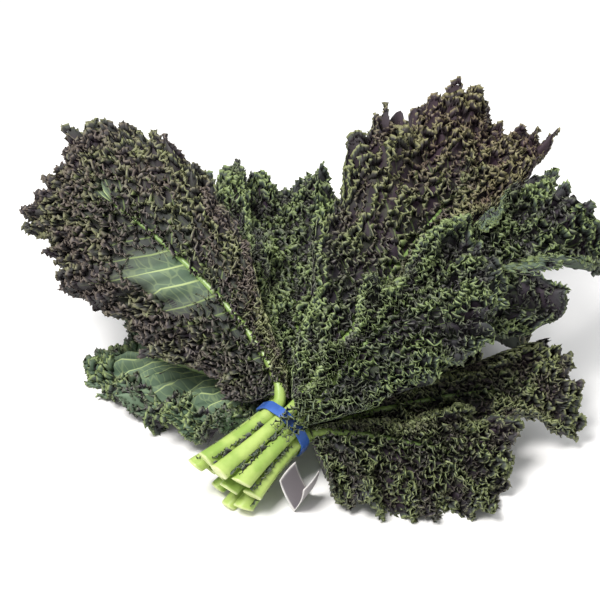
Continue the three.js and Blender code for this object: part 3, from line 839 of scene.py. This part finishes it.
def stalk_scraps():
    """The ruffled scraps along the cut stalks, as one mesh."""
    sheets = Sheets()
    for name, height in SCRAP_STALKS.items():
        leaf = next(leaf for leaf in LEAVES if leaf["name"] == name)
        share = np.linspace(0.04, 0.8, 90)
        at, tangent, right, upper = frames_at(leaf, leaf["stub"], share)
        offset = at - BAND_CENTRE
        outward = unit(offset - (offset @ BUNDLE_AXIS)[:, None] * BUNDLE_AXIS)
        beside = unit(np.cross(tangent, outward))
        run = share * leaf["cut"]
        for side in (-1, 1):
            seed = 40 * leaf["number"] + side
            stand = unit(0.3 * outward + side * 0.95 * beside)
            root = at + stand * (stub_size(share)[0] - 0.8)[:, None]
            tall = height * (0.4 + 0.9 * wander(run / 17, seed)) * np.clip((0.8 - share) * 12, 0.1, 1)
            tall = np.maximum(tall, 0.05)
            if name == TUFT_STALK and side == 1:
                tall = tall + TUFT_HEIGHT * np.exp(-share / 0.08)
            phase = 2 * math.pi * run / SCRAP_CURL + 2 * wander(run / 15, seed + 3)
            across = unit(np.cross(tangent, stand))
            rows = ribbon(root, stand, across, tangent, tall, phase, 1.7, 0.8)
            painted_light_and_tone = 0.55 + 0.4 * np.exp(-share / 0.15) * (name == TUFT_STALK)
            sheets.add(rows, FRILL_THICKNESS, FRILL_ROWS[:, None], share, 0.9, painted_light_and_tone)
    for angle, height in BAND_FRILLS:
        run = np.linspace(-BAND_FRILL_BACK, BAND_FRILL_AHEAD, 60)
        turn = np.radians(angle + 5 * wander(run / 16, angle))
        outward = ACROSS * np.cos(turn)[:, None] + ABOVE * np.sin(turn)[:, None]
        root = BAND_CENTRE + BUNDLE_AXIS * (run - BAND_BACK)[:, None] + outward * BAND_FRILL_ROOT
        across = unit(np.cross(BUNDLE_AXIS, outward))
        phase = 2 * math.pi * run / SCRAP_CURL + 2 * wander(run / 15, angle + 3)
        rising = np.clip((run + BAND_FRILL_BACK) / 9, 0.15, 1)
        tall = height * rising * (0.9 + 0.3 * wander(run / 11, angle + 1))
        rows = ribbon(root, outward, across, BUNDLE_AXIS, tall, phase, 2.2, 1.0)
        sheets.add(rows, FRILL_THICKNESS, FRILL_ROWS[:, None], run / 100, 0.9, 0.6)
    made = sheets.make("fine_stalk_scraps")
    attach(made, "root")
    return made


scraps = stalk_scraps()

# %% [markdown]
# The rubber band is one flat loop, drawn tight from stalk to stalk. It bends round each stalk and
# runs straight between them, and its edges are soft.

# %% Rubber band
BAND_EDGE = 0.45
band_place = BAND_CENTRE - BAND_BACK * BUNDLE_AXIS


def closed_sweep(name, centres, outward, along, section):
    """A closed loop with one section, given as places outward and along at each centre."""
    rows = len(centres)
    sides = len(section)
    points = np.concatenate([
        centres[i] + section[:, :1] * outward[i] + section[:, 1:] * along[i] for i in range(rows)])
    faces = []
    for row in range(rows):
        after = (row + 1) % rows
        for i in range(sides):
            j = (i + 1) % sides
            faces.append((row * sides + i, row * sides + j, after * sides + j, after * sides + i))
    mesh = bpy.data.meshes.new(name)
    mesh.from_pydata(packed(points).tolist(), [], faces)
    mesh.polygons.foreach_set("use_smooth", np.ones(len(mesh.polygons), bool))
    return link(name, mesh)


def rubber_band():
    """The finer band."""
    slots = np.radians(sorted(leaf["slot"] for leaf in LEAVES if leaf["name"] not in INNER_LEAVES))
    half_turn = math.pi / len(slots)
    middle = STALK_AT_BAND + BAND_GAP + BAND_THICKNESS / 2
    flat = []
    for slot in slots:
        corner = RING_RADIUS * np.array([math.cos(slot), math.sin(slot)])
        for angle in np.linspace(slot - half_turn, slot + half_turn, 7):
            flat.append((corner + middle * np.array([math.cos(angle), math.sin(angle)]), angle))
    loop, turns = [], []
    for (point, angle), (after, _) in zip(flat, flat[1:] + flat[:1]):
        steps = 4 if np.linalg.norm(after - point) > 3.5 else 1
        for step in range(steps):
            loop.append(point + (after - point) * step / steps)
            turns.append(angle)
    loop = np.array(loop)
    turns = np.array(turns)
    plane = np.array([ACROSS, ABOVE])
    outward = np.stack([np.cos(turns), np.sin(turns)], axis=-1) @ plane
    sway = 0.5 * np.sin(2 * turns + 0.6) + 0.25 * np.sin(5 * turns)
    centres = band_place + loop @ plane + sway[:, None] * BUNDLE_AXIS
    half_width, half_thick = BAND_WIDTH / 2 - BAND_EDGE, BAND_THICKNESS / 2 - BAND_EDGE
    section = []
    for x_sign, y_sign, first in ((1, 1, 0), (-1, 1, 90), (-1, -1, 180), (1, -1, 270)):
        for step in (0, 30, 60, 90):
            angle = math.radians(first + step)
            section.append((x_sign * half_thick + BAND_EDGE * math.cos(angle),
                            y_sign * half_width + BAND_EDGE * math.sin(angle)))
    along = np.broadcast_to(BUNDLE_AXIS, centres.shape)
    made = closed_sweep("fine_rubber_band", centres, outward, along, np.array(section))
    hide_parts("rubber_band")
    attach(made, "root")
    return made


band = rubber_band()

# %% [markdown]
# The tag is one strip of stiff paper folded into a V, with its fold down. Paper bends a little
# between its fold and its free ends, so each half is bowed, and its corners lift.

# %% Paper tag
PAPER_THICKNESS = 0.45


def paper_tag():
    """The finer tag, as one closed sheet."""
    sheets = Sheets()
    share = np.linspace(-1, 1, 41)
    depth = np.linspace(0, TAG_DEPTH, 15)[:, None]
    height = (TAG_HEIGHT - 0.4) * np.abs(share) + TAG_HALF_THICKNESS
    bow = 1.3 * np.sin(math.pi * np.abs(share)) * np.sign(share)
    lift = 0.9 * np.abs(share) ** 3 * np.sign(share) * (2 * depth / TAG_DEPTH - 1) ** 2
    across = (TAG_SPREAD - TAG_FOLD) * share + bow - lift
    grid = tag_point(across, height, depth)
    sheets.add(grid, PAPER_THICKNESS, np.abs(share), share, depth / TAG_DEPTH, 0.5)
    made = sheets.make("fine_tag")
    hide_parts("tag")
    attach(made, "root")
    return made


tag = paper_tag()

# %% [markdown]
# Every finish is made from shader nodes. One helper adds a node, sets its values and joins it to
# others, which keeps each material short enough to read.

# %% Shader helpers


def node(tree, kind, inputs=None, **settings):
    """A new shader node. Inputs are values or the output sockets that feed them."""
    made = tree.nodes.new(kind)
    for name, value in settings.items():
        setattr(made, name, value)
    for name, value in (inputs or {}).items():
        if isinstance(value, bpy.types.NodeSocket):
            tree.links.new(value, made.inputs[name])
        else:
            made.inputs[name].default_value = value
    return made


def stored(tree, name):
    """A number stored at the points of the mesh."""
    return node(tree, "ShaderNodeAttribute", attribute_name=name).outputs["Fac"]


def math_node(tree, operation, first, second=0.0):
    """One sum on two numbers."""
    return node(tree, "ShaderNodeMath", {0: first, 1: second}, operation=operation).outputs[0]


def between(tree, value, low, high):
    """0 where the value is at low and 1 where it is at high, with a soft step between."""
    inputs = {"Value": value, "From Min": low, "From Max": high}
    return node(tree, "ShaderNodeMapRange", inputs, interpolation_type="SMOOTHSTEP").outputs["Result"]


def mixed(tree, share, first, second):
    """One colour turning into another."""
    mix = node(tree, "ShaderNodeMix", data_type="RGBA")
    for socket, value in ((mix.inputs[0], share), (mix.inputs[6], first), (mix.inputs[7], second)):
        if isinstance(value, bpy.types.NodeSocket):
            tree.links.new(value, socket)
        else:
            socket.default_value = value
    return mix.outputs[2]


def without(tree, value):
    """What is left of 1 when a number is taken from it."""
    return math_node(tree, "SUBTRACT", 1.0, value)


def new_material(name):
    """A material with its node tree and its main shader."""
    made = bpy.data.materials.new(name)
    made.use_nodes = True
    return made, made.node_tree, made.node_tree.nodes["Principled BSDF"]


# %% [markdown]
# Leaf, stalk and paper all vary softly from place to place and carry a fine relief. That effect
# is one node group, with its own scale and depth in each material.

# %% The mottled grain group


def mottle_group():
    """A group that gives a soft mask, a fine mask and a normal."""
    tree = bpy.data.node_groups.new("mottled grain", "ShaderNodeTree")
    for name, value in (("Patch Scale", 40.0), ("Grain Scale", 600.0), ("Relief", 0.2)):
        socket = tree.interface.new_socket(name, in_out="INPUT", socket_type="NodeSocketFloat")
        socket.default_value = value
    tree.interface.new_socket("Patches", in_out="OUTPUT", socket_type="NodeSocketFloat")
    tree.interface.new_socket("Grain", in_out="OUTPUT", socket_type="NodeSocketFloat")
    tree.interface.new_socket("Normal", in_out="OUTPUT", socket_type="NodeSocketVector")
    given = node(tree, "NodeGroupInput").outputs
    result = node(tree, "NodeGroupOutput")
    place = node(tree, "ShaderNodeTexCoord").outputs["Object"]
    patches, grain = (
        node(tree, "ShaderNodeTexNoise", {"Vector": place, "Scale": given[scale], "Detail": detail})
        for scale, detail in (("Patch Scale", 3.0), ("Grain Scale", 4.0)))
    relief = node(tree, "ShaderNodeBump", {"Strength": given["Relief"], "Distance": 0.0006,
                                           "Height": grain.outputs["Fac"]})
    tree.links.new(between(tree, patches.outputs["Fac"], 0.35, 0.65), result.inputs["Patches"])
    tree.links.new(grain.outputs["Fac"], result.inputs["Grain"])
    tree.links.new(relief.outputs["Normal"], result.inputs["Normal"])
    return tree


MOTTLE = mottle_group()


def mottled(tree, patch_scale, grain_scale, relief):
    """The mottled grain group, placed in a material."""
    placed = node(tree, "ShaderNodeGroup", node_tree=MOTTLE)
    for name, value in (("Patch Scale", patch_scale), ("Grain Scale", grain_scale), ("Relief", relief)):
        placed.inputs[name].default_value = value
    return placed.outputs


def join_finish(tree, shader, colour, mottle, least, share):
    """Joins a colour to the shader, with roughness and relief from the mottled grain."""
    rough = math_node(tree, "ADD", math_node(tree, "MULTIPLY", mottle["Grain"], share), least)
    tree.links.new(colour, shader.inputs["Base Color"])
    tree.links.new(rough, shader.inputs["Roughness"])
    tree.links.new(mottle["Normal"], shader.inputs["Normal"])


# %% [markdown]
# A kale blade is dark green and a little blue from its wax. Painted shade makes it nearly black
# in its hollows, at the roots of its frills, and a painted highlight makes its free rims lighter
# and yellower, or reddish where the leaf is flushed. Its stored tone, partly random, also paints
# light on the crests of its clumps and shade in their hollows. Its underside is paler and greyer,
# with pale veins that branch from the midrib and painted shade in the furrows between them. The
# veins follow the ridges of the sheet, from the same stored place on the leaf, and a faint web of
# finer ones fills the space between.

# %% Leaf finish


def leaf_material():
    """The finish of every blade."""
    made, tree, shader = new_material("kale blade")
    rim, place, out = (stored(tree, name) for name in ("rim", "place", "out"))
    under, painted_light_and_tone = stored(tree, "under"), stored(tree, "painted_light_and_tone")
    mottle = mottled(tree, 26.0, 900.0, 0.25)
    bent = math_node(tree, "MULTIPLY", math_node(tree, "POWER", out, 1.4), VEIN_BEND)
    fold = math_node(tree, "ABSOLUTE", math_node(tree, "SUBTRACT", place, 1.0))
    lane = math_node(tree, "MULTIPLY", math_node(tree, "ADD", fold, bent), float(SIDE_VEINS))
    offset = math_node(tree, "ABSOLUTE", math_node(tree, "SUBTRACT", math_node(tree, "FRACT", lane), 0.5))
    width = math_node(tree, "SUBTRACT", 0.07, math_node(tree, "MULTIPLY", out, 0.06))
    main_vein = without(tree, between(tree, math_node(tree, "DIVIDE", offset, width), 0.35, 1.0))
    flat = node(tree, "ShaderNodeCombineXYZ", {"X": math_node(tree, "MULTIPLY", place, 22.0),
                                               "Y": math_node(tree, "MULTIPLY", out, 11.0)})
    web = node(tree, "ShaderNodeTexVoronoi", {"Vector": flat.outputs[0], "Scale": 1.0},
               feature="DISTANCE_TO_EDGE")
    fine_vein = without(tree, between(tree, web.outputs["Distance"], 0.02, 0.09))
    vein = math_node(tree, "MAXIMUM", main_vein, math_node(tree, "MULTIPLY", fine_vein, 0.22))
    fading = without(tree, between(tree, out, 0.55, 0.95))
    vein = math_node(tree, "MULTIPLY", vein, fading)
    # Painted shade, purple black, for the hollows at the roots of the frills
    painted_hollow_shade = mixed(tree, mottle["Patches"], (0.026, 0.015, 0.028, 1), (0.024, 0.026, 0.028, 1))
    # The leaf's own green between, darker and purpler where the tone paints shade
    middle = mixed(tree, painted_light_and_tone, (0.032, 0.027, 0.036, 1), (0.056, 0.075, 0.060, 1))
    # A painted highlight for the free rims, from grey purple to yellow green by the tone
    painted_rim_highlight = mixed(tree, painted_light_and_tone, (0.100, 0.096, 0.094, 1), (0.300, 0.383, 0.155, 1))
    upper = mixed(tree, between(tree, rim, 0.1, 0.7), painted_hollow_shade, middle)
    upper = mixed(tree, between(tree, rim, 0.68, 1.0), upper, painted_rim_highlight)
    dusty = mixed(tree, mottle["Patches"], (0.085, 0.140, 0.085, 1), (0.150, 0.215, 0.140, 1))
    waxy = mixed(tree, between(tree, rim, 0.3, 1.0), dusty, (0.110, 0.160, 0.080, 1))
    # Painted shade in the furrows between the side veins of an underside
    painted_furrow_shade = math_node(tree, "MULTIPLY", between(tree, offset, 0.15, 0.5), 0.6)
    waxy = mixed(tree, painted_furrow_shade, waxy, (0.045, 0.080, 0.050, 1))
    waxy = mixed(tree, vein, waxy, (0.400, 0.500, 0.220, 1))
    veined = mixed(tree, math_node(tree, "MULTIPLY", vein, 0.5), upper, (0.200, 0.300, 0.080, 1))
    colour = mixed(tree, under, veined, waxy)
    # The purple flush is the leaf's own colour; painted shade darkens it at the roots, and a painted
    # highlight turns it reddish brown at the rims
    wine = mixed(tree, between(tree, rim, 0.66, 1.0), (0.045, 0.020, 0.032, 1), (0.320, 0.225, 0.140, 1))
    flushed = math_node(tree, "MULTIPLY", stored(tree, "flush"), 0.6)
    colour = mixed(tree, flushed, colour, wine)
    dull = math_node(tree, "SUBTRACT", 0.62, math_node(tree, "MULTIPLY", rim, 0.25))
    join_finish(tree, shader, colour, mottle, dull, 0.2)
    shader.inputs["Specular IOR Level"].default_value = 0.35
    return made


blade_finish = leaf_material()
for made in [*blades, scraps]:
    made.data.materials.append(blade_finish)

# %% [markdown]
# The stalk is pale yellow green and satin smooth, streaked along its length, and paler still on
# its cut face. It turns a deeper green as it becomes the midrib.

# %% Stalk finish


def stalk_material():
    """The finish of every stalk."""
    made, tree, shader = new_material("kale stalk")
    along, cap = stored(tree, "along"), stored(tree, "cap")
    mottle = mottled(tree, 55.0, 700.0, 0.15)
    pale = mixed(tree, mottle["Patches"], (0.24, 0.37, 0.07, 1), (0.38, 0.50, 0.13, 1))
    green = mixed(tree, between(tree, along, 0.9, 1.7), pale, (0.20, 0.31, 0.09, 1))
    faced = mixed(tree, cap, green, (0.58, 0.64, 0.30, 1))
    join_finish(tree, shader, faced, mottle, 0.3, 0.15)
    return made


stalk_finish = stalk_material()
for made in stalks:
    made.data.materials.append(stalk_finish)

# %% [markdown]
# The band is plain blue rubber, matt with a soft shine. The tag is pale paper, and painted shade
# makes its faces dark grey, one of them darker still, so it is pale only along its edges.

# %% Band and tag finishes


def band_material():
    """The finish of the rubber band."""
    made, tree, shader = new_material("blue rubber")
    mottle = mottled(tree, 120.0, 900.0, 0.2)
    colour = mixed(tree, mottle["Patches"], (0.022, 0.080, 0.320, 1), (0.035, 0.110, 0.400, 1))
    join_finish(tree, shader, colour, mottle, 0.35, 0.2)
    return made


def tag_material():
    """The finish of the paper tag."""
    made, tree, shader = new_material("tag paper")
    mottle = mottled(tree, 90.0, 1500.0, 0.3)
    pale = mixed(tree, mottle["Patches"], (0.62, 0.60, 0.58, 1), (0.74, 0.72, 0.70, 1))
    # Painted shade: the faces of the pale paper are dark grey, and the skin with the stored under value
    # darker still
    faces = mixed(tree, stored(tree, "under"), (0.30, 0.28, 0.29, 1), (0.16, 0.14, 0.16, 1))
    end = math_node(tree, "ABSOLUTE", math_node(tree, "SUBTRACT", stored(tree, "out"), 0.5))
    top = between(tree, stored(tree, "rim"), 0.9, 0.97)
    edge = math_node(tree, "MAXIMUM", top, between(tree, end, 0.4, 0.48))
    join_finish(tree, shader, mixed(tree, edge, faces, pale), mottle, 0.6, 0.2)
    return made


band.data.materials.append(band_material())
tag.data.materials.append(tag_material())
